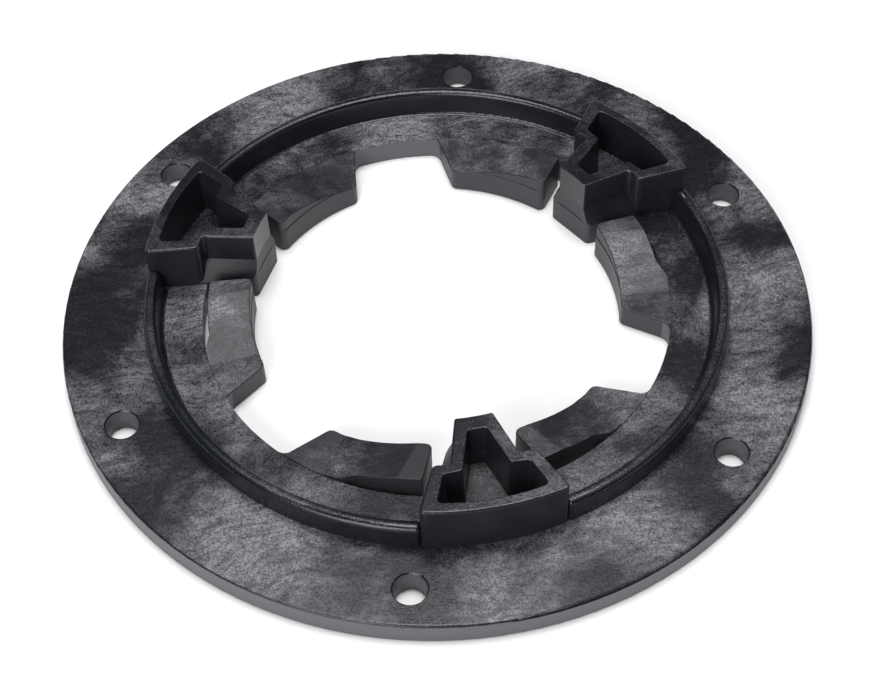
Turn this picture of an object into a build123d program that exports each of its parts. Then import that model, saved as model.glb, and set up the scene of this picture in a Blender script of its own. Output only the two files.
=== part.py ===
from build123d import *
from math import atan2, cos, degrees, radians, sin, sqrt, tan
import os

# All lengths are in mm and all angles in degrees. The underside is at z = 0, and the part stands on it.
# Plan shapes are drawn once for a lug that points along +X (the lug frame), then turned to each lug.

# Plate: one flat ring, the flange outside the rim and the deck inside it.
FLANGE_RADIUS = 98.4
PLATE_THICKNESS = 6.4
PLATE_INNER_RADIUS = 61.7
FLANGE_TOP_ROUND = 0.8
FLANGE_BOTTOM_ROUND = 0.4

# Screw holes: a tapered mouth, a short land, and a slightly wider lower bore.
SCREW_CIRCLE_RADIUS = 88.1
SCREW_COUNT = 6
FIRST_SCREW_AZIMUTH = -105.0
HOLE_MOUTH_RADIUS = 4.25
HOLE_LAND_RADIUS = 3.65
HOLE_LOWER_RADIUS = 3.85
HOLE_LAND_TOP_Z = 3.2
HOLE_LAND_BOTTOM_Z = 2.4
HOLE_MOUTH_CHAMFER = 0.3

# Opening: every face that looks into it leans back a little, with a small step at the mould's parting line.
OPENING_RADIUS = 48.5
OPENING_DRAFT = 1.4
PARTING_Z = 7.2
PARTING_STEP = 0.15

# Lugs: three hollow boxes with a T-shaped outline. The nose stands on a wedge-shaped foot whose sides
# rise straight to the parting line and then slope in to the nose.
LUG_AZIMUTHS = (-90.0, 30.0, 150.0)
LUG_HEIGHT = 20.8
FOOT_TOP_Z = 12.2
NOSE_FRONT_HALF_WIDTH = 4.7
NOSE_CORNER = (61.8, 8.5)
SHOULDER_CORNER = (61.2, 12.65)
LUG_SIDE_ANGLE = 24.0
CAVITY_FRONT = (53.0, 2.3)
CAVITY_NECK = (64.3, 5.8)
CAVITY_SHOULDER = (64.6, 10.6)
CAVITY_BACK = (72.0, 13.4)
CAVITY_BACK_RADIUS = 73.6
CAVITY_FLOOR_Z = 7.3
CAVITY_DRAFT = 0.5
NOSE_CORNER_ROUND = 1.3
NECK_ROUND = 1.2
SHOULDER_ROUND = 1.8
BACK_CORNER_ROUND = 1.2
CAVITY_CORNER_ROUND = 0.9
FOOT_CORNER_ROUND = 1.6
LUG_TOP_ROUND = 0.6
CAVITY_MOUTH_ROUND = 0.35

# Rim: a rounded bead between the lugs, its outer wall flush with the backs of the lugs.
RIM_OUTER_RADIUS = 76.4
RIM_INNER_TOP_RADIUS = 73.3
RIM_INNER_FOOT_RADIUS = 72.5
RIM_TOP_Z = 13.5
RIM_OUTER_ROUND = 1.5
RIM_INNER_ROUND = 1.3
RIM_FOOT_ROUND = 1.0
RIM_END_ROUND = 0.9

# Fingers: two beside each lug, free at the lug end and rooted beside a notch of the centre opening.
FINGER_OUTER_RADIUS = 60.0
FINGER_GAP = 3.0
SLOT_TAPER_AZIMUTH = 29.8
SLOT_TIP_AZIMUTH = 33.75
NOTCH_CORNER_AZIMUTH = 43.7
NOTCH_WALL_ANGLE = 66.4
FINGER_INNER_ROUND = 1.8
FINGER_OUTER_ROUND = 0.8
ROOT_CORNER_ROUND = 2.0
NOTCH_FILLET_RADIUS = 3.0
PAD_Z = 6.8
STRIP_Z = 11.0
RAMP_ANGLE = 35.0
RAMP_START = -3.5
RAMP_END = 15.3

# The hinge that stands in for the bending of a finger at its root.
HINGE_AZIMUTH = 33.0
HINGE_Z = 4.0
KNUCKLE_RADIUS = 2.4
HINGE_CLEARANCE = 0.3
KNUCKLE_INNER_RADIUS = 49.6
KNUCKLE_OUTER_RADIUS = 60.8

# How far cutting solids reach past the part.
REACH = 120.0
# Points closer than this are the same place when edges are picked out.
SAME_PLACE = 0.1
# How far a cutting shape runs past what it cuts.
MARGIN = 1.0
# The Z part of a face's normal, below which the face counts as upright.
UPRIGHT = 0.1
# A lug's outlines are drawn from inside the opening to outside the rim, and trimmed later.
LUG_DRAWN_FROM = OPENING_RADIUS * 0.9
LUG_DRAWN_TO = RIM_OUTER_RADIUS * 1.1


def polar(radius, azimuth):
    return radius * cos(radians(azimuth)), radius * sin(radians(azimuth))


def polygon(*points):
    return make_face(Polyline(*points, close=True))


def prism(face, bottom, top):
    return Pos(0, 0, bottom) * extrude(face, top - bottom)


def mirrored(points):
    """The points, then their mirror images across the lug's axis in reverse order."""
    return [*points, *[(u, -v) for u, v in reversed(points)]]


def upright_edges(solid, points):
    """The vertical edges of a solid that pass nearest to the given plan points."""
    upright = solid.edges().filter_by(Axis.Z)
    found = ShapeList()
    for u, v in points:
        found.append(min(upright, key=lambda edge: (edge @ 0.5 - Vector(u, v, (edge @ 0.5).Z)).length))
    return found


def level_edges(solid, height):
    return solid.edges().filter_by_position(Axis.Z, height, height)


def new_top_edges(solid, before):
    """The edges at the lug's top that an earlier solid doesn't have."""
    old = [edge @ 0.5 for edge in level_edges(before, LUG_HEIGHT)]
    new = level_edges(solid, LUG_HEIGHT)
    return [edge for edge in new if min((edge @ 0.5 - point).length for point in old) > SAME_PLACE]


def at_lug(shape, number):
    return Rot(0, 0, LUG_AZIMUTHS[number - 1]) * shape


def lug_side_v(u):
    """Half width of the lug's wedge at distance u along its axis."""
    return SHOULDER_CORNER[1] + (u - SHOULDER_CORNER[0]) * tan(radians(LUG_SIDE_ANGLE))


def lug_side_direction():
    return Vector(cos(radians(LUG_SIDE_ANGLE)), sin(radians(LUG_SIDE_ANGLE)))


def meet_circle(start, along, radius):
    """Where a line crosses a circle about the centre, at its outer crossing."""
    middle = start.dot(along)
    return start + along * (sqrt(middle**2 - start.dot(start) + radius**2) - middle)


def ring(inner, outer):
    return Circle(outer) - Circle(inner)


def opening():
    """The space through the middle, which the feet, noses and fingers all reach in to."""
    def wall(height):
        return OPENING_RADIUS + height * tan(radians(OPENING_DRAFT))

    below, above = wall(PARTING_Z), wall(PARTING_Z) + PARTING_STEP
    top = wall(REACH) + PARTING_STEP
    profile = polygon((0, -1), (wall(-1), -1), (below, PARTING_Z), (above, PARTING_Z), (top, REACH), (0, REACH))
    return revolve(Plane.XZ * profile, Axis.Z)


def nose_side_v(u):
    """Half width of the lug's nose at distance u along its axis."""
    slope = (NOSE_CORNER[1] - NOSE_FRONT_HALF_WIDTH) / (NOSE_CORNER[0] - OPENING_RADIUS)
    return NOSE_FRONT_HALF_WIDTH + (u - OPENING_RADIUS) * slope


def strip_outline(half_width, near, far):
    """Plan of a strip along the lug's axis, with a half width that changes with the distance."""
    return polygon(*mirrored([(near, half_width(near)), (far, half_width(far))]))


def wedge_outline():
    return strip_outline(lug_side_v, LUG_DRAWN_FROM, LUG_DRAWN_TO)


def nose_outline():
    """T-shaped outline of the lug above its foot: a narrow nose in front of two shoulders."""
    near, far = LUG_DRAWN_FROM, LUG_DRAWN_TO
    first, last = (near, nose_side_v(near)), (far, lug_side_v(far))
    return polygon(*mirrored([first, NOSE_CORNER, SHOULDER_CORNER, last]))


def cavity_outline(inset):
    front = (CAVITY_FRONT[0] + inset, CAVITY_FRONT[1] - inset)
    neck = (CAVITY_NECK[0] + inset, CAVITY_NECK[1] - inset)
    shoulder = (CAVITY_SHOULDER[0] + inset, CAVITY_SHOULDER[1] - inset)
    back = (CAVITY_BACK[0] - inset, CAVITY_BACK[1] - inset)
    sides = [
        Polyline(front, neck, shoulder, back),
        ThreePointArc(back, (CAVITY_BACK_RADIUS - inset, 0), (back[0], -back[1])),
        Polyline(*[(u, -v) for u, v in (back, shoulder, neck, front)]),
        Line((front[0], -front[1]), front),
    ]
    outline = make_face(sides)
    return fillet(outline.vertices(), CAVITY_CORNER_ROUND)


def lug_cavity():
    """The pocket in a lug, open at the top, with walls that lean in towards its floor."""
    floor = Pos(0, 0, CAVITY_FLOOR_Z) * cavity_outline(CAVITY_DRAFT)
    mouth = Pos(0, 0, LUG_HEIGHT) * cavity_outline(0)
    return loft([floor, mouth], ruled=True)


def lug_block():
    """A lug's rounded outside above the deck, before its nose is cut off the foot."""
    outline = nose_outline() & ring(OPENING_RADIUS, RIM_OUTER_RADIUS)
    block = prism(outline, PLATE_THICKNESS, LUG_HEIGHT)
    front = (OPENING_RADIUS, NOSE_FRONT_HALF_WIDTH)
    back = meet_circle(Vector(*SHOULDER_CORNER), lug_side_direction(), RIM_OUTER_RADIUS)
    block = fillet(upright_edges(block, mirrored([front])), NOSE_CORNER_ROUND)
    block = fillet(upright_edges(block, mirrored([NOSE_CORNER])), NECK_ROUND)
    block = fillet(upright_edges(block, mirrored([SHOULDER_CORNER])), SHOULDER_ROUND)
    block = fillet(upright_edges(block, mirrored([(back.X, back.Y)])), BACK_CORNER_ROUND)
    return fillet(level_edges(block, LUG_HEIGHT), LUG_TOP_ROUND)


def standing_block():
    """The lug's outside without the part of its nose that the foot takes up."""
    return lug_block() - prism(Circle(PLATE_INNER_RADIUS), PLATE_THICKNESS, FOOT_TOP_Z)


def lug_housing():
    outside = standing_block() - opening()
    housing = outside - lug_cavity()
    return fillet(new_top_edges(housing, outside), CAVITY_MOUTH_ROUND)


def lug_foot():
    """The wedge under a lug's nose, up to where the nose's walls stand clear of it."""
    behind_shoulders = NOSE_CORNER[0] + MARGIN
    wide = strip_outline(lug_side_v, OPENING_RADIUS, behind_shoulders)
    narrow = strip_outline(nose_side_v, OPENING_RADIUS, behind_shoulders)
    foot = prism(wide, 0, PARTING_Z)
    foot += loft([Pos(0, 0, PARTING_Z) * wide, Pos(0, 0, FOOT_TOP_Z) * narrow], ruled=True)
    corner = (OPENING_RADIUS, lug_side_v(OPENING_RADIUS))
    foot = fillet(upright_edges(foot, mirrored([corner])), FOOT_CORNER_ROUND)
    foot -= prism(ring(PLATE_INNER_RADIUS, REACH), 0, PLATE_THICKNESS)
    return foot - standing_block() - opening() - lug_cavity()


def finger_end():
    """A point on the line of a finger's free end and the direction along it, parallel to the lug's side."""
    along = lug_side_direction()
    across = Vector(-along.Y, along.X)
    return Vector(*SHOULDER_CORNER) + across * FINGER_GAP, along


def notch_wall():
    """The corner of a finger's root at the opening, and the direction of its wall beside the notch."""
    corner = Vector(*polar(OPENING_RADIUS, NOTCH_CORNER_AZIMUTH))
    return corner, Vector(cos(radians(NOTCH_WALL_ANGLE)), sin(radians(NOTCH_WALL_ANGLE)))


def azimuth_of(point):
    return degrees(atan2(point.Y, point.X))


def arc_points(radius, first, last):
    """Three points along an arc about the centre, for ThreePointArc."""
    return [polar(radius, azimuth) for azimuth in (first, (first + last) / 2, last)]


def finger_outline():
    """Plan of a whole finger: free end, inner face, notch wall, root at the deck, slot taper, outer face."""
    end, end_along = finger_end()
    inner = meet_circle(end, end_along, OPENING_RADIUS)
    outer = meet_circle(end, end_along, FINGER_OUTER_RADIUS)
    corner, wall_along = notch_wall()
    root = meet_circle(corner, wall_along, PLATE_INNER_RADIUS)
    edges = [
        Line(outer, inner),
        ThreePointArc(*arc_points(OPENING_RADIUS, azimuth_of(inner), NOTCH_CORNER_AZIMUTH)),
        Line(corner, root),
        ThreePointArc(*arc_points(PLATE_INNER_RADIUS, azimuth_of(root), SLOT_TIP_AZIMUTH)),
        Line(polar(PLATE_INNER_RADIUS, SLOT_TIP_AZIMUTH), polar(FINGER_OUTER_RADIUS, SLOT_TAPER_AZIMUTH)),
        ThreePointArc(*arc_points(FINGER_OUTER_RADIUS, SLOT_TAPER_AZIMUTH, azimuth_of(outer))),
    ]
    return make_face(edges)


def ramp_space():
    """Everything above a finger's top: a low pad by the notch, a ramp, and a high strip by the free end."""
    across = Vector(sin(radians(RAMP_ANGLE)), -cos(radians(RAMP_ANGLE)))
    section = Plane(origin=(0, 0, 0), x_dir=across, z_dir=(across.Y, -across.X, 0))
    ramp = [(RAMP_START, PAD_Z), (RAMP_END, STRIP_Z)]
    profile = polygon((-REACH, PAD_Z), *ramp, (REACH, STRIP_Z), (REACH, REACH), (-REACH, REACH))
    return extrude(section * profile, REACH, both=True)


def half_plan(side):
    """A tall block on one side of the hinge line: -1 towards the lug, +1 towards the notch."""
    clear = HINGE_CLEARANCE / 2
    block = Pos(REACH / 2, side * (REACH / 2 + clear), 0) * Box(REACH, REACH, REACH)
    return Rot(0, 0, HINGE_AZIMUTH) * block


def knuckle(radius, first, last):
    """A round bar along the hinge axis, between two distances from the centre."""
    bar = Pos(0, 0, first) * extrude(Circle(radius), last - first)
    return Rot(0, 0, HINGE_AZIMUTH) * Pos(0, 0, HINGE_Z) * Rot(0, 90, 0) * bar


def whole_finger():
    finger = prism(finger_outline(), 0, STRIP_Z) - ramp_space()
    end, end_along = finger_end()
    inner = meet_circle(end, end_along, OPENING_RADIUS)
    outer = meet_circle(end, end_along, FINGER_OUTER_RADIUS)
    corner = notch_wall()[0]
    finger = fillet(upright_edges(finger, [(inner.X, inner.Y)]), FINGER_INNER_ROUND)
    finger = fillet(upright_edges(finger, [(outer.X, outer.Y)]), FINGER_OUTER_ROUND)
    finger = fillet(upright_edges(finger, [(corner.X, corner.Y)]), ROOT_CORNER_ROUND)
    return finger - opening()


def free_finger(whole):
    return whole & half_plan(-1) + knuckle(KNUCKLE_RADIUS, KNUCKLE_INNER_RADIUS, KNUCKLE_OUTER_RADIUS)


def finger_root(whole):
    socket_end = KNUCKLE_OUTER_RADIUS + HINGE_CLEARANCE
    socket = knuckle(KNUCKLE_RADIUS + HINGE_CLEARANCE, OPENING_RADIUS / 2, socket_end)
    return (whole & half_plan(1)) - socket


def notch_web():
    """The rounded inside corner of the deck, where a finger's notch wall meets the deck's edge."""
    corner, along = notch_wall()
    away = Vector(-along.Y, along.X)
    on_wall = corner + away * NOTCH_FILLET_RADIUS
    centre = meet_circle(on_wall, along, PLATE_INNER_RADIUS - NOTCH_FILLET_RADIUS)
    wall_point = centre - away * NOTCH_FILLET_RADIUS
    rim_point = centre * ((PLATE_INNER_RADIUS + MARGIN) / centre.length)
    behind = meet_circle(corner, along, PLATE_INNER_RADIUS + MARGIN)
    web = polygon(wall_point, centre, rim_point, behind)
    return web - Pos(centre.X, centre.Y) * Circle(NOTCH_FILLET_RADIUS)


def screw_hole():
    profile = polygon(
        (0, -1),
        (HOLE_LOWER_RADIUS, -1),
        (HOLE_LOWER_RADIUS, HOLE_LAND_BOTTOM_Z),
        (HOLE_LAND_RADIUS, HOLE_LAND_BOTTOM_Z),
        (HOLE_LAND_RADIUS, HOLE_LAND_TOP_Z),
        (HOLE_MOUTH_RADIUS, PLATE_THICKNESS - HOLE_MOUTH_CHAMFER),
        (HOLE_MOUTH_RADIUS + HOLE_MOUTH_CHAMFER, PLATE_THICKNESS),
        (HOLE_MOUTH_RADIUS + HOLE_MOUTH_CHAMFER, PLATE_THICKNESS + MARGIN),
        (0, PLATE_THICKNESS + MARGIN),
    )
    return revolve(Plane.XZ * profile, Axis.Z)


def outer_edges(plate):
    """The circular edges at the flange's full radius, from the lowest to the highest."""
    circles = plate.edges().filter_by(GeomType.CIRCLE)
    return circles.filter_by(lambda edge: abs(edge.radius - FLANGE_RADIUS) < SAME_PLACE).sort_by(Axis.Z)


def mounting_flange():
    outline = ring(PLATE_INNER_RADIUS, FLANGE_RADIUS)
    for azimuth in LUG_AZIMUTHS:
        for web in (notch_web(), mirror(notch_web(), Plane.XZ)):
            outline += Rot(0, 0, azimuth) * web
    plate = prism(outline, 0, PLATE_THICKNESS)
    plate = fillet(outer_edges(plate)[-1], FLANGE_TOP_ROUND)
    plate = fillet(outer_edges(plate)[0], FLANGE_BOTTOM_ROUND)
    for number in range(SCREW_COUNT):
        azimuth = FIRST_SCREW_AZIMUTH + number * 360 / SCREW_COUNT
        plate -= Pos(*polar(SCREW_CIRCLE_RADIUS, azimuth)) * screw_hole()
    return plate


def rim_profile():
    profile = polygon(
        (RIM_INNER_FOOT_RADIUS - RIM_FOOT_ROUND * 2, PLATE_THICKNESS - RIM_FOOT_ROUND),
        (RIM_INNER_FOOT_RADIUS - RIM_FOOT_ROUND * 2, PLATE_THICKNESS),
        (RIM_INNER_FOOT_RADIUS, PLATE_THICKNESS),
        (RIM_INNER_TOP_RADIUS, RIM_TOP_Z),
        (RIM_OUTER_RADIUS, RIM_TOP_Z),
        (RIM_OUTER_RADIUS, PLATE_THICKNESS - RIM_FOOT_ROUND),
    )
    foot = Vector(RIM_INNER_FOOT_RADIUS, PLATE_THICKNESS)
    nearest = min(profile.vertices(), key=lambda vertex: (Vector(vertex) - foot).length)
    profile = fillet(nearest, RIM_FOOT_ROUND)
    profile -= Pos(0, PLATE_THICKNESS - REACH / 2) * Rectangle(REACH * 2, REACH)
    top = profile.vertices().filter_by(lambda vertex: abs(vertex.Y - RIM_TOP_Z) < SAME_PLACE)
    profile = fillet(top.sort_by(Axis.X)[0], RIM_INNER_ROUND)
    return fillet(profile.vertices().sort_by(Axis.Y)[-1], RIM_OUTER_ROUND)


def end_edges(segment):
    """The upper edges of a rim segment's two flat ends."""
    ends = segment.faces().filter_by(GeomType.PLANE).filter_by(lambda face: abs(face.normal_at().Z) < UPRIGHT)
    middle_z = (PLATE_THICKNESS + RIM_TOP_Z) / 2
    return [edge for face in ends for edge in face.edges() if (edge @ 0.5).Z > middle_z]


def rim_segments():
    """The bead cut by the three lugs, one solid for each stretch, counterclockwise from each lug."""
    bead = revolve(Plane.XZ * rim_profile(), Axis.Z)
    for azimuth in LUG_AZIMUTHS:
        bead -= Rot(0, 0, azimuth) * prism(wedge_outline(), 0, LUG_HEIGHT)
    segments = []
    for azimuth in LUG_AZIMUTHS:
        middle = Vector(*polar(RIM_OUTER_RADIUS, azimuth + 180 / len(LUG_AZIMUTHS)))
        segment = min(bead.solids(), key=lambda solid: (solid.center() - middle).length)
        segments.append(segment.fillet(RIM_END_ROUND, end_edges(segment)))
    return segments


def build():
    """Every node's shape by name, in place."""
    nodes = {"mounting_flange": mounting_flange()}
    foot, housing, whole = lug_foot(), lug_housing(), whole_finger()
    free, root = free_finger(whole), finger_root(whole)
    for number, segment in enumerate(rim_segments(), start=1):
        nodes[f"rim_segment_{number}"] = segment
    for number in range(1, len(LUG_AZIMUTHS) + 1):
        nodes[f"lug_housing_{number}"] = at_lug(housing, number)
        nodes[f"lug_foot_{number}"] = at_lug(foot, number)
        nodes[f"drive_finger_{2 * number - 1}"] = at_lug(mirror(free, Plane.XZ), number)
        nodes[f"drive_finger_{2 * number}"] = at_lug(free, number)
        nodes[f"finger_root_{2 * number - 1}"] = at_lug(mirror(root, Plane.XZ), number)
        nodes[f"finger_root_{2 * number}"] = at_lug(root, number)
    return nodes


os.makedirs("parts", exist_ok=True)
for name, shape in build().items():
    export_step(shape, f"parts/{name}.step")
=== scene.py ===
from math import atan2, cos, pi, radians, sin, sqrt, tan

import bmesh
import bpy
from mathutils import Matrix, Vector


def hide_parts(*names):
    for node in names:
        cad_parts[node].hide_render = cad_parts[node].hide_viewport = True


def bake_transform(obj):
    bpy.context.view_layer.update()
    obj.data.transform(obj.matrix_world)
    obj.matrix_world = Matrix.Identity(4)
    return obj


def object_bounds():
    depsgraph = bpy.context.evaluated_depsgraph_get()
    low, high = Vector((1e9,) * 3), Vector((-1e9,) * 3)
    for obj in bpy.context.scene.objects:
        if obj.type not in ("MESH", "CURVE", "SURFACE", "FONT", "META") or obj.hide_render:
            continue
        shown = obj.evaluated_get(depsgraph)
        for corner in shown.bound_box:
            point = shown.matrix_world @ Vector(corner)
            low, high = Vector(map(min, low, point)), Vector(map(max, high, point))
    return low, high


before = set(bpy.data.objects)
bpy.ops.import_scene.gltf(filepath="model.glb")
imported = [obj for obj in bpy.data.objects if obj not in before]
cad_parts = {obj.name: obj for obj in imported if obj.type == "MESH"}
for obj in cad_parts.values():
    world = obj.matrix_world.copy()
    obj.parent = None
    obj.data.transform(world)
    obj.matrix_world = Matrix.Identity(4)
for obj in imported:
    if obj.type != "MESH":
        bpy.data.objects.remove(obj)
CAD_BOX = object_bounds()

# Every length below is in metres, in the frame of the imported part: the underside is at z = 0.
MM = 0.001
FLANGE_RADIUS = (CAD_BOX[1].x - CAD_BOX[0].x) / 2
LUG_AZIMUTHS = (-90, 30, 150)

# The camera stands over the first lug, a little to its side, and looks down on the middle of the part.
CAMERA_AZIMUTH = -99.7
CAMERA_ELEVATION = 50.79
CAMERA_ROLL = -1.72
CAMERA_DISTANCE = 5.1084 * FLANGE_RADIUS
CAMERA_SIDE = 0.0071 * FLANGE_RADIUS
CAMERA_RISE = -0.0822 * FLANGE_RADIUS
SENSOR_WIDTH = 36.0
LENS = 77.18

# Fingers, drawn for a lug that points along +X.
OPENING_RADIUS = 48.5 * MM
OPENING_DRAFT = 1.4
PARTING_Z = 7.2 * MM
PARTING_STEP = 0.15 * MM
FINGER_OUTER_RADIUS = 60.0 * MM
ROOT_RADIUS = 61.7 * MM
FREE_END_POINT = (59.98 * MM, 15.39 * MM)
FREE_END_ANGLE = 24.0
SLOT_TAPER_AZIMUTH = 29.8
SLOT_TIP_AZIMUTH = 33.75
NOTCH_CORNER_AZIMUTH = 43.7
NOTCH_WALL_ANGLE = 66.4
INNER_CORNER_ROUND = 1.8 * MM
OUTER_CORNER_ROUND = 0.8 * MM
NOTCH_CORNER_ROUND = 2.0 * MM
PAD_Z = 6.8 * MM
STRIP_Z = 11.0 * MM
RAMP_ANGLE = 35.0
RAMP_START = -3.5 * MM
RAMP_END = 15.3 * MM
EDGE_ROUND = 0.35 * MM

# How finely a finger's outline is divided, and the degrees kept free beside its round corners.
INNER_ARC_STEPS = 30
OUTER_ARC_STEPS = 20
ROOT_ARC_STEPS = 12
INNER_CORNER_STEPS = 5
OUTER_CORNER_STEPS = 4
CORNER_MARGIN = 2.4

# How a finger's faces are told apart: by how upright their normals are, and by where the deck adjoins.
UPRIGHT_BELOW = 0.1
LEVEL_ABOVE = 0.7
DECK_MARGIN = 0.3 * MM
DRAFT_REACH = 2.0 * MM
WELD_DISTANCE = 0.01 * MM
SHARP_ANGLE = 30.0

FLOOR_SIZE = 8.0
FLOOR_DROP = 0.1 * MM
WORLD_COLOUR = (0.86, 0.93, 1, 1)
WORLD_STRENGTH = 0.11
# Name of each lamp, its azimuth from the camera's, elevation, distance, size and power.
LAMPS = (
    ("overhead", 180, 84, 1.5, 0.9, 21),
    ("front", -25, 28, 1.5, 1.0, 17),
    ("side", 80, 50, 1.6, 0.8, 1.5),
)


def polar(radius, azimuth):
    return Vector((radius * cos(radians(azimuth)), radius * sin(radians(azimuth))))


def azimuth_of(point):
    return atan2(point.y, point.x) * 180 / pi


def meet_circle(start, along, radius):
    """Where a line crosses a circle about the centre, at its outer crossing."""
    middle = start.dot(along)
    return start + along * (sqrt(middle**2 - start.length_squared + radius**2) - middle)


def arc(radius, first, last, steps):
    """Points along an arc about the centre, without its two ends."""
    return [polar(radius, first + (last - first) * k / steps) for k in range(1, steps)]


def rounded(before, corner, after, radius, steps):
    """Points of a round corner between the directions to two neighbouring points."""
    a, b = (before - corner).normalized(), (after - corner).normalized()
    half = a.angle(b) / 2
    reach = radius / tan(half)
    centre = corner + (a + b).normalized() * (radius / sin(half))
    first, last = corner + a * reach - centre, corner + b * reach - centre
    turn = first.angle_signed(last)
    return [centre + Matrix.Rotation(-turn * k / steps, 2) @ first for k in range(steps + 1)]


def finger_plan():
    """Outline of a finger with its root, starting on the free end and going round the opening first."""
    along = Vector((cos(radians(FREE_END_ANGLE)), sin(radians(FREE_END_ANGLE))))
    end = Vector(FREE_END_POINT)
    inner = meet_circle(end, along, OPENING_RADIUS)
    outer = meet_circle(end, along, FINGER_OUTER_RADIUS)
    notch = polar(OPENING_RADIUS, NOTCH_CORNER_AZIMUTH)
    wall = Vector((cos(radians(NOTCH_WALL_ANGLE)), sin(radians(NOTCH_WALL_ANGLE))))
    root = meet_circle(notch, wall, ROOT_RADIUS)
    inner_start = azimuth_of(inner) + CORNER_MARGIN
    inner_arc = arc(OPENING_RADIUS, inner_start, NOTCH_CORNER_AZIMUTH - CORNER_MARGIN, INNER_ARC_STEPS)
    outer_end = azimuth_of(outer) + CORNER_MARGIN / 2
    outer_arc = arc(FINGER_OUTER_RADIUS, SLOT_TAPER_AZIMUTH, outer_end, OUTER_ARC_STEPS)
    points = rounded(outer, inner, inner_arc[0], INNER_CORNER_ROUND, INNER_CORNER_STEPS)
    points += inner_arc
    points += rounded(inner_arc[-1], notch, root, NOTCH_CORNER_ROUND, INNER_CORNER_STEPS)
    points.append(root)
    points += arc(ROOT_RADIUS, azimuth_of(root), SLOT_TIP_AZIMUTH, ROOT_ARC_STEPS)
    points.append(polar(ROOT_RADIUS, SLOT_TIP_AZIMUTH))
    points.append(polar(FINGER_OUTER_RADIUS, SLOT_TAPER_AZIMUTH))
    points += outer_arc
    points += rounded(outer_arc[-1], outer, inner, OUTER_CORNER_ROUND, OUTER_CORNER_STEPS)
    return points


def ramp_across():
    return Vector((sin(radians(RAMP_ANGLE)), -cos(radians(RAMP_ANGLE)), 0))


def finger_height(point):
    """Height of a finger's top: a low pad at the root, a ramp, and a high strip at the free end."""
    share = (point.dot(ramp_across()) - RAMP_START) / (RAMP_END - RAMP_START)
    return PAD_Z + (STRIP_Z - PAD_Z) * min(max(share, 0), 1)


def lean_back(point):
    """Moves the opening's wall out with height, with a small step at the parting line."""
    flat = Vector((point.x, point.y))
    near = 1 - (flat.length - OPENING_RADIUS) / DRAFT_REACH
    if near <= 0:
        return
    shift = point.z * tan(radians(OPENING_DRAFT))
    if point.z > PARTING_Z + PARTING_STEP / 2:
        shift += PARTING_STEP
    flat *= 1 + shift * min(near, 1) / flat.length
    point.x, point.y = flat


def cut(mesh, point, normal):
    everything = [*mesh.verts, *mesh.edges, *mesh.faces]
    bmesh.ops.bisect_plane(mesh, geom=everything, plane_co=point, plane_no=normal)


def finger_mesh(name, turn, flipped):
    mesh = bmesh.new()
    bottom = mesh.faces.new([mesh.verts.new((p.x, p.y, 0)) for p in finger_plan()])
    raised = bmesh.ops.extrude_face_region(mesh, geom=[bottom])["geom"]
    for item in raised:
        if isinstance(item, bmesh.types.BMVert):
            item.co.z = STRIP_Z
    for offset in (RAMP_START, RAMP_END):
        cut(mesh, ramp_across() * offset, ramp_across())
    for vertex in mesh.verts:
        if vertex.co.z > STRIP_Z / 2:
            vertex.co.z = finger_height(vertex.co)
    bmesh.ops.recalc_face_normals(mesh, faces=mesh.faces)
    rims = [e for e in mesh.edges if len(e.link_faces) == 2 and is_rim(e)]
    shape = {"offset": EDGE_ROUND, "segments": 4, "profile": 0.5, "loop_slide": False}
    bmesh.ops.bevel(mesh, geom=rims, affect="EDGES", **shape)
    for height in (PARTING_Z, PARTING_Z + PARTING_STEP):
        cut(mesh, (0, 0, height), (0, 0, 1))
    for vertex in mesh.verts:
        lean_back(vertex.co)
        if flipped:
            vertex.co.y = -vertex.co.y
    bmesh.ops.remove_doubles(mesh, verts=mesh.verts, dist=WELD_DISTANCE)
    bmesh.ops.recalc_face_normals(mesh, faces=mesh.faces)
    bmesh.ops.rotate(mesh, verts=mesh.verts, cent=(0, 0, 0), matrix=Matrix.Rotation(radians(turn), 3, "Z"))
    data = bpy.data.meshes.new(name)
    mesh.to_mesh(data)
    mesh.free()
    data.shade_smooth()
    data.set_sharp_from_angle(angle=radians(SHARP_ANGLE))
    piece = bpy.data.objects.new(name, data)
    bpy.context.scene.collection.objects.link(piece)
    even = piece.modifiers.new("even_normals", "WEIGHTED_NORMAL")
    even.keep_sharp = True
    return piece


def is_rim(edge):
    """True for an edge between a level or sloping face and an upright one, where no deck adjoins it."""
    middle = (edge.verts[0].co + edge.verts[1].co) / 2
    if Vector((middle.x, middle.y)).length > FINGER_OUTER_RADIUS + DECK_MARGIN:
        return False
    tilts = sorted(abs(face.normal.z) for face in edge.link_faces)
    return tilts[0] < UPRIGHT_BELOW and tilts[1] > LEVEL_ABOVE


def make_fingers(material):
    for number, azimuth in enumerate(LUG_AZIMUTHS, start=1):
        for index, side in ((2 * number - 1, -1), (2 * number, 1)):
            finger = finger_mesh(f"finger_moulding_{index}", azimuth, side < 0)
            finger.data.materials.append(material)
            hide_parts(f"drive_finger_{index}", f"finger_root_{index}")
            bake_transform(finger)


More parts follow.
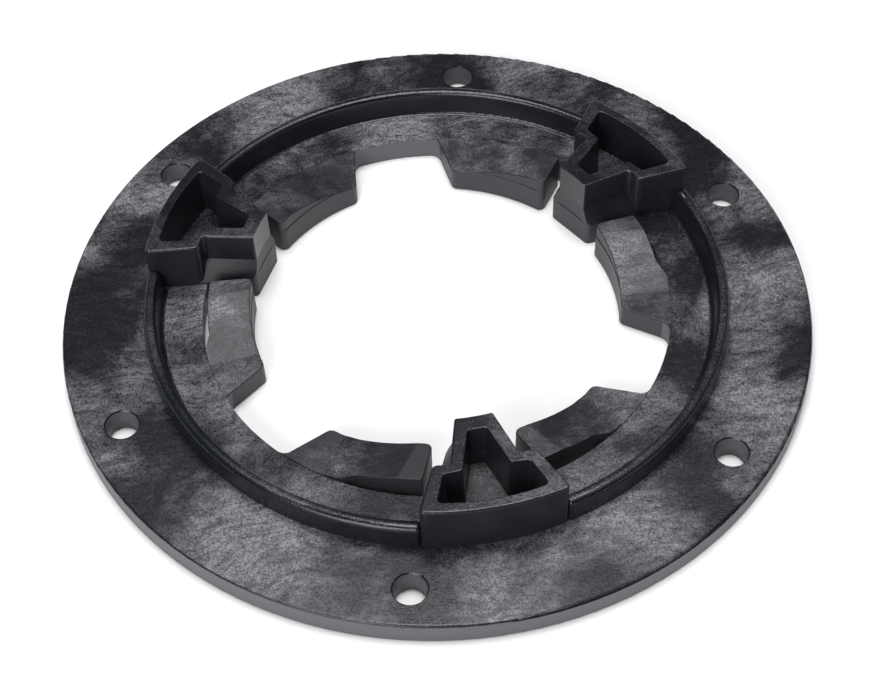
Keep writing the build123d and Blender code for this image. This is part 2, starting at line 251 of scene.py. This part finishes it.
class Nodes:
    """A short way to add shader nodes and link them."""

    def __init__(self, tree):
        self.tree = tree

    def add(self, kind, inputs=None, **settings):
        node = self.tree.nodes.new(kind)
        for key, value in settings.items():
            setattr(node, key, value)
        for key, value in (inputs or {}).items():
            if isinstance(value, bpy.types.NodeSocket):
                self.tree.links.new(value, node.inputs[key])
            else:
                node.inputs[key].default_value = value
        return node

    def math(self, operation, a, b=0.0, clamp=False):
        return self.add("ShaderNodeMath", {0: a, 1: b}, operation=operation, use_clamp=clamp).outputs[0]

    def noise(self, vector, scale, detail, roughness=0.5, distortion=0.0):
        values = {"Vector": vector, "Scale": scale, "Detail": detail, "Roughness": roughness}
        values["Distortion"] = distortion
        return self.add("ShaderNodeTexNoise", values).outputs["Fac"]

    def span(self, value, low, high, out_low=0.0, out_high=1.0, smooth=False):
        kind = "SMOOTHSTEP" if smooth else "LINEAR"
        values = {"Value": value, "From Min": low, "From Max": high, "To Min": out_low, "To Max": out_high}
        return self.add("ShaderNodeMapRange", values, interpolation_type=kind).outputs[0]

    def mix_color(self, factor, a, b):
        node = self.add("ShaderNodeMix", data_type="RGBA")
        for socket, value in ((node.inputs[0], factor), (node.inputs[6], a), (node.inputs[7], b)):
            if isinstance(value, bpy.types.NodeSocket):
                self.tree.links.new(value, socket)
            else:
                socket.default_value = value
        return node.outputs[2]


# By kind of node: the roughness of the darkest places, then how much bloom lies on level faces, and
# how much painted light lies on upright ones.
FINISHES = {
    "mounting_flange": (0.22, 1.0, 0.4),
    "rim_segment": (0.2, 0.08, 0.03),
    "lug_housing": (0.22, 0.55, 0.05),
    "lug_foot": (0.46, 0.7, 0.1),
    "finger_root": (0.46, 0.95, 0.12),
    "drive_finger": (0.46, 0.95, 0.12),
}
DARK_COLOUR = (0.0038, 0.0048, 0.0078, 1)
# The grey of the bloom, also used for the painted light on upright faces.
BLOOM_AND_PAINTED_LIGHT_COLOUR = (0.215, 0.219, 0.235, 1)
BLOOM_ROUGHNESS = 0.52
PATCH_HEIGHT = 6 * MM
# Where the grey bloom lies thick on level faces, and where the darker patches lie, which are thinner bloom
# and painted shade: azimuth in degrees, radius and size in millimetres, and strength. These azimuths
# start at the right of the view from the camera.
BLOOM_PATCHES = (
    (118, 88, 24, 0.8),
    (148, 82, 14, 0.5),
    (0, 86, 20, 0.6),
    (-24, 88, 18, 0.55),
    (-52, 88, 16, 0.3),
    (-82, 92, 24, 0.75),
    (-122, 86, 30, 1.6),
    (-168, 88, 12, 0.3),
    (62, 86, 14, 0.3),
    (-60, 66, 12, 0.7),
    (100, 66, 24, 1.7),
    (-135, 66, 12, 0.3),
)
# Darker patches: the bloom lies thinner there, and they also paint shade onto the level faces.
THIN_BLOOM_AND_SHADE_PATCHES = (
    (185, 90, 24, 1.5),
    (160, 92, 14, 0.9),
    (85, 90, 14, 0.9),
    (30, 90, 12, 0.8),
    (-20, 66, 13, 1.0),
    (-44, 90, 20, 0.9),
    (12, 92, 12, 0.7),
    (-95, 88, 10, 0.6),
    (10, 73, 8, 0.6),
)


def patches(nodes, position, places):
    """The strongest of several round patches at each point, fading out from their middles."""
    total = None
    for azimuth, radius, size, strength in places:
        middle = polar(radius * MM, azimuth + CAMERA_AZIMUTH + 90)
        values = {0: position, 1: (*middle, PATCH_HEIGHT)}
        away = nodes.add("ShaderNodeVectorMath", values, operation="DISTANCE")
        patch = nodes.span(away.outputs["Value"], 0.0, size * MM, strength, 0.0, smooth=True)
        total = patch if total is None else nodes.math("MAXIMUM", total, patch)
    return total


def swirled(nodes, position, scale, reach):
    """The position, pushed about by a slow noise, so that a pattern read there flows in curls."""
    push = nodes.add("ShaderNodeTexNoise", {"Vector": position, "Scale": scale, "Detail": 1.0})
    values = {0: push.outputs["Color"], 1: (0.5, 0.5, 0.5)}
    centred = nodes.add("ShaderNodeVectorMath", values, operation="SUBTRACT")
    values = {0: centred.outputs[0], 1: (reach, reach, reach), 2: position}
    return nodes.add("ShaderNodeVectorMath", values, operation="MULTIPLY_ADD").outputs[0]


def strokes(nodes, position, turn, scale):
    """Short curling strokes, longer one way than the other."""
    turned = nodes.add("ShaderNodeMapping", {"Vector": swirled(nodes, position, 40.0, 0.02)})
    turned.inputs["Rotation"].default_value = (0, 0, radians(turn))
    turned.inputs["Scale"].default_value = (1.0, 3.2, 1.0)
    return nodes.noise(turned.outputs[0], scale, 7.0, 0.74)


def bloom_and_painted_light(nodes, position, fibres, top_bloom, painted_side_strength):
    """How thick the grey bloom lies in strokes on level faces, with painted light laid evenly on upright
    ones.
    """
    upward = nodes.add("ShaderNodeSeparateXYZ", {0: nodes.add("ShaderNodeNewGeometry").outputs["Normal"]})
    level = nodes.span(upward.outputs["Z"], 0.75, 0.97)
    # Painted light: upright faces are lightened evenly towards the grey, by a share set for each kind of
    # node.
    upright = nodes.span(nodes.math("ABSOLUTE", upward.outputs["Z"]), 0.5, 0.2, 0.0, painted_side_strength)

    clouds = nodes.noise(swirled(nodes, position, 18.0, 0.03), 34.0, 5.0, 0.62)
    across = strokes(nodes, position, 35, 150.0)
    along = strokes(nodes, position, -50, 210.0)
    bloom = patches(nodes, position, BLOOM_PATCHES)
    thin_bloom_and_shade = patches(nodes, position, THIN_BLOOM_AND_SHADE_PATCHES)

    cover = nodes.math("ADD", clouds, nodes.math("MULTIPLY", bloom, 0.15))
    cover = nodes.math("SUBTRACT", cover, nodes.math("MULTIPLY", thin_bloom_and_shade, 0.14))
    cover = nodes.span(cover, 0.40, 0.72, 0.05, 1.0, smooth=True)
    wisps = nodes.math("ADD", nodes.math("MULTIPLY", across, 0.55), nodes.math("MULTIPLY", along, 0.45))
    wisps = nodes.span(wisps, 0.36, 0.64, 0.2, top_bloom, smooth=True)
    speck = nodes.span(fibres, 0.36, 0.66, 0.3, 1.7)
    amount = nodes.math("MULTIPLY", nodes.math("MULTIPLY", cover, wisps), speck)
    amount = nodes.math("MULTIPLY", amount, level)
    return nodes.math("ADD", amount, upright, clamp=True)


def black_plastic(name, roughness, top_bloom, painted_side_strength):
    """Black plastic with a grey bloom and a fine fibre grain."""
    material = bpy.data.materials.new(name)
    material.use_nodes = True
    nodes = Nodes(material.node_tree)
    shader = material.node_tree.nodes["Principled BSDF"]
    link = material.node_tree.links.new
    position = nodes.add("ShaderNodeTexCoord").outputs["Object"]
    fibres = nodes.noise(position, 2100.0, 2.0, 0.6)
    grain = nodes.noise(position, 3600.0, 1.0)
    amount = bloom_and_painted_light(nodes, position, fibres, top_bloom, painted_side_strength)
    link(nodes.mix_color(amount, DARK_COLOUR, BLOOM_AND_PAINTED_LIGHT_COLOUR), shader.inputs["Base Color"])
    rough = nodes.span(amount, 0.0, 0.5, roughness, BLOOM_ROUGHNESS)
    link(rough, shader.inputs["Roughness"])
    shader.inputs["Specular IOR Level"].default_value = 0.4
    bump = nodes.math("ADD", nodes.math("MULTIPLY", fibres, 0.6), nodes.math("MULTIPLY", grain, 0.4))
    bump = nodes.add("ShaderNodeBump", {"Height": bump, "Strength": 0.42, "Distance": 0.0002})
    link(bump.outputs[0], shader.inputs["Normal"])
    return material


def finish_nodes():
    """Gives every CAD node the plastic of its kind."""
    for family, finish in FINISHES.items():
        plastic = black_plastic(f"plastic_{family}", *finish)
        for name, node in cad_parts.items():
            if name.startswith(family):
                node.data.materials.clear()
                node.data.materials.append(plastic)


def floor():
    bpy.ops.mesh.primitive_plane_add(size=FLOOR_SIZE, location=(0, 0, -FLOOR_DROP))
    plane = bpy.context.object
    plane.name = "floor"
    material = bpy.data.materials.new("pale_floor")
    material.use_nodes = True
    shader = material.node_tree.nodes["Principled BSDF"]
    shader.inputs["Base Color"].default_value = (0.9, 0.9, 0.9, 1)
    shader.inputs["Roughness"].default_value = 0.9
    shader.inputs["Specular IOR Level"].default_value = 0.1
    plane.data.materials.append(material)


def camera_axes():
    """Right, up and back of the camera, from its azimuth, elevation and roll."""
    azimuth, elevation, roll = (radians(v) for v in (CAMERA_AZIMUTH, CAMERA_ELEVATION, CAMERA_ROLL))
    back = Vector((cos(azimuth) * cos(elevation), sin(azimuth) * cos(elevation), sin(elevation)))
    level = Vector((-sin(azimuth), cos(azimuth), 0))
    rise = back.cross(level)
    right = cos(roll) * level + sin(roll) * rise
    return right, back.cross(right), back


def camera():
    right, up, back = camera_axes()
    data = bpy.data.cameras.new("camera")
    data.lens = LENS
    data.sensor_width = SENSOR_WIDTH
    data.clip_end = 20
    viewer = bpy.data.objects.new("camera", data)
    bpy.context.scene.collection.objects.link(viewer)
    turned = Matrix((right, up, back)).transposed().to_4x4()
    place = back * CAMERA_DISTANCE + right * CAMERA_SIDE + up * CAMERA_RISE
    viewer.matrix_world = Matrix.Translation(place) @ turned
    bpy.context.scene.camera = viewer


def area_light(name, azimuth, elevation, distance, size, power):
    data = bpy.data.lights.new(name, "AREA")
    data.shape = "DISK"
    data.size = size
    data.energy = power
    lamp = bpy.data.objects.new(name, data)
    bpy.context.scene.collection.objects.link(lamp)
    flat = polar(distance * cos(radians(elevation)), azimuth)
    lamp.location = (*flat, distance * sin(radians(elevation)))
    lamp.rotation_mode = "QUATERNION"
    lamp.rotation_quaternion = lamp.location.to_track_quat("Z", "Y")


def studio():
    world = bpy.data.worlds.new("studio")
    world.use_nodes = True
    background = world.node_tree.nodes["Background"]
    background.inputs["Color"].default_value = WORLD_COLOUR
    background.inputs["Strength"].default_value = WORLD_STRENGTH
    bpy.context.scene.world = world
    for name, azimuth, elevation, distance, size, power in LAMPS:
        area_light(name, CAMERA_AZIMUTH + azimuth, elevation, distance, size, power)
    bpy.context.scene.view_settings.view_transform = "Standard"


finish_nodes()
make_fingers(black_plastic("plastic_finger_moulding", *FINISHES["drive_finger"]))
floor()
camera()
studio()
